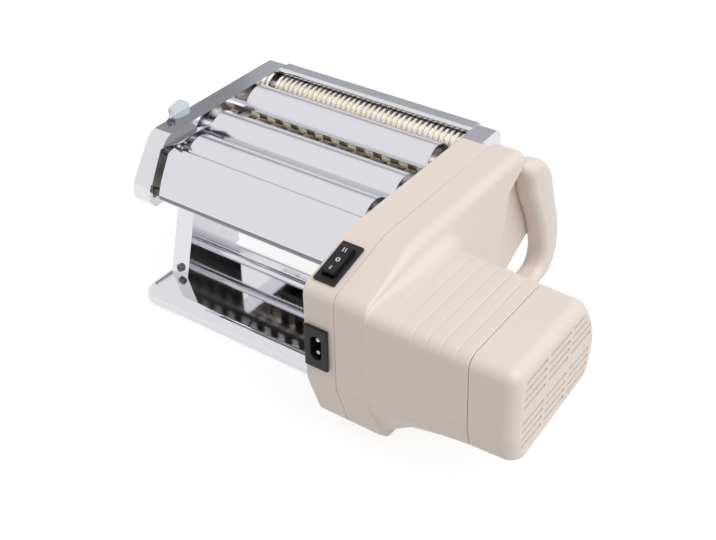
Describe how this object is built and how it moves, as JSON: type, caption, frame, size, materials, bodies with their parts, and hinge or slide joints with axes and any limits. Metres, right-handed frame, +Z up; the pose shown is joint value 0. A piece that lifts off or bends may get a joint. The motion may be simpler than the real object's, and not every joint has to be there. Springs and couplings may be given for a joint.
{
  "type": "electric pasta maker",
  "caption": "Chromed sheet rollers and two pairs of pasta cutters on a footed base, driven by a geared motor unit with a carrying handle.",
  "frame": {"origin": "centre of the bounding box, on the surface that the feet stand on", "axes": "+X along the rollers towards the motor's end cap, +Y to the back (the handle's side), +Z up"},
  "size_m": [0.3034, 0.2272, 0.1296],
  "materials": {
    "chrome": "polished",
    "zinc_steel": "satin",
    "dark_steel": "satin",
    "cutter_brass": "satin",
    "bronze": "satin",
    "black_plastic": "satin",
    "cream_plastic": "fine texture",
    "lever_plastic": "gloss",
    "white_plastic": "satin",
    "rubber": "matte",
    "copper": "gloss",
    "ferrite": "matte",
    "board_green": "satin"
  },
  "bodies": {
    "frame": {"base_plate": "chrome", "base_feet": "rubber", "left_side_frame": "chrome", "right_side_frame": "chrome", "left_outer_cover": "chrome", "right_gear_cover": "chrome", "front_panel": "chrome", "back_rail": "chrome", "leg_tie": "chrome", "panel_rods": "zinc_steel", "roller_guard": "chrome", "cutter_cover": "chrome", "bushes": "bronze", "carrier_guides": "zinc_steel", "rear_scraper": "dark_steel", "fettuccine_combs": "black_plastic", "tagliolini_combs": "black_plastic", "frame_screws": "zinc_steel", "motor_can": "zinc_steel", "motor_magnets": "ferrite", "brush_holder": "black_plastic", "gearbox_plates": "zinc_steel", "gearbox_pillars": "zinc_steel", "control_board": "board_green", "motor_inner_shell": "cream_plastic", "motor_outer_shell": "cream_plastic", "motor_end_cap": "cream_plastic", "carry_handle": "cream_plastic", "switch_housing": "black_plastic", "inlet_body": "black_plastic", "inlet_pins": "zinc_steel", "motor_feet": "cream_plastic", "housing_screws": "zinc_steel"},
    "rear_roller": {"rear_roller": "chrome", "rear_roller_gears": "zinc_steel"},
    "front_roller": {"front_roller": "chrome", "front_roller_gear": "zinc_steel"},
    "roller_carrier": {"roller_carriers": "bronze", "carrier_tie": "zinc_steel", "front_scraper": "dark_steel"},
    "fettuccine_front": {"fettuccine_front_cutter": "cutter_brass", "fettuccine_front_gear": "zinc_steel"},
    "fettuccine_rear": {"fettuccine_rear_cutter": "cutter_brass", "fettuccine_rear_gears": "zinc_steel"},
    "tagliolini_front": {"tagliolini_front_cutter": "cutter_brass", "tagliolini_front_gears": "zinc_steel"},
    "tagliolini_rear": {"tagliolini_rear_cutter": "cutter_brass", "tagliolini_rear_gear": "zinc_steel"},
    "drive": {"drive_shaft": "zinc_steel", "drive_gears": "zinc_steel"},
    "second_gear": {"second_gear": "white_plastic"},
    "first_gear": {"first_gear": "white_plastic"},
    "rotor": {"motor_shaft": "zinc_steel", "motor_core": "dark_steel", "motor_windings": "copper", "cooling_fan": "white_plastic"},
    "lever": {"thickness_lever": "lever_plastic", "lever_crank": "zinc_steel"},
    "rocker": {"switch_rocker": "black_plastic"}
  },
  "joints": [
    {"name": "rear_roller_spin", "type": "hinge", "parent": "frame", "child": "rear_roller", "pos_m": [-0.0544, -0.00051, 0.109], "axis": [1, 0, 0], "continuous": true},
    {"name": "gap_slide", "type": "slide", "parent": "frame", "child": "roller_carrier", "axis": [0, 1, 0], "range_m": [0, 0.0028]},
    {"name": "front_roller_spin", "type": "hinge", "parent": "roller_carrier", "child": "front_roller", "pos_m": [-0.0544, -0.03191, 0.109], "axis": [1, 0, 0], "continuous": true},
    {"name": "fettuccine_front_spin", "type": "hinge", "parent": "frame", "child": "fettuccine_front", "pos_m": [-0.0544, 0.02282, 0.10074], "axis": [1, 0, 0], "continuous": true},
    {"name": "fettuccine_rear_spin", "type": "hinge", "parent": "frame", "child": "fettuccine_rear", "pos_m": [-0.0544, 0.03659, 0.11233], "axis": [1, 0, 0], "continuous": true},
    {"name": "tagliolini_front_spin", "type": "hinge", "parent": "frame", "child": "tagliolini_front", "pos_m": [-0.0544, 0.05293, 0.09914], "axis": [1, 0, 0], "continuous": true},
    {"name": "tagliolini_rear_spin", "type": "hinge", "parent": "frame", "child": "tagliolini_rear", "pos_m": [-0.0544, 0.0667, 0.11074], "axis": [1, 0, 0], "continuous": true},
    {"name": "drive_spin", "type": "hinge", "parent": "frame", "child": "drive", "pos_m": [-0.0544, -0.01537, 0.08921], "axis": [1, 0, 0], "continuous": true},
    {"name": "second_gear_spin", "type": "hinge", "parent": "frame", "child": "second_gear", "pos_m": [-0.0544, -0.03899, 0.06204], "axis": [1, 0, 0], "continuous": true},
    {"name": "first_gear_spin", "type": "hinge", "parent": "frame", "child": "first_gear", "pos_m": [-0.0544, -0.05485, 0.08896], "axis": [1, 0, 0], "continuous": true},
    {"name": "rotor_spin", "type": "hinge", "parent": "frame", "child": "rotor", "pos_m": [-0.0544, -0.06828, 0.06788], "axis": [1, 0, 0], "continuous": true},
    {"name": "lever_turn", "type": "hinge", "parent": "frame", "child": "lever", "pos_m": [-0.0544, -0.03051, 0.109], "axis": [1, 0, 0], "range_deg": [0, 115]},
    {"name": "rocker_tilt", "type": "hinge", "parent": "frame", "child": "rocker", "pos_m": [-0.0544, -0.09141, 0.11988], "axis": [1, 0, 0], "range_deg": [-12, 12]}
  ],
  "couplings": [
    {"joint": "front_roller_spin", "follows": "rear_roller_spin", "ratio": -1},
    {"joint": "fettuccine_front_spin", "follows": "rear_roller_spin", "ratio": -1.75},
    {"joint": "fettuccine_rear_spin", "follows": "rear_roller_spin", "ratio": 1.75},
    {"joint": "tagliolini_front_spin", "follows": "rear_roller_spin", "ratio": -1.75},
    {"joint": "tagliolini_rear_spin", "follows": "rear_roller_spin", "ratio": 1.75},
    {"joint": "drive_spin", "follows": "rear_roller_spin", "ratio": -1.75},
    {"joint": "second_gear_spin", "follows": "rear_roller_spin", "ratio": 5.25},
    {"joint": "first_gear_spin", "follows": "rear_roller_spin", "ratio": -21},
    {"joint": "rotor_spin", "follows": "rear_roller_spin", "ratio": 84},
    {"joint": "lever_turn", "follows": "gap_slide", "rad_per_m": 716.83}
  ]
}
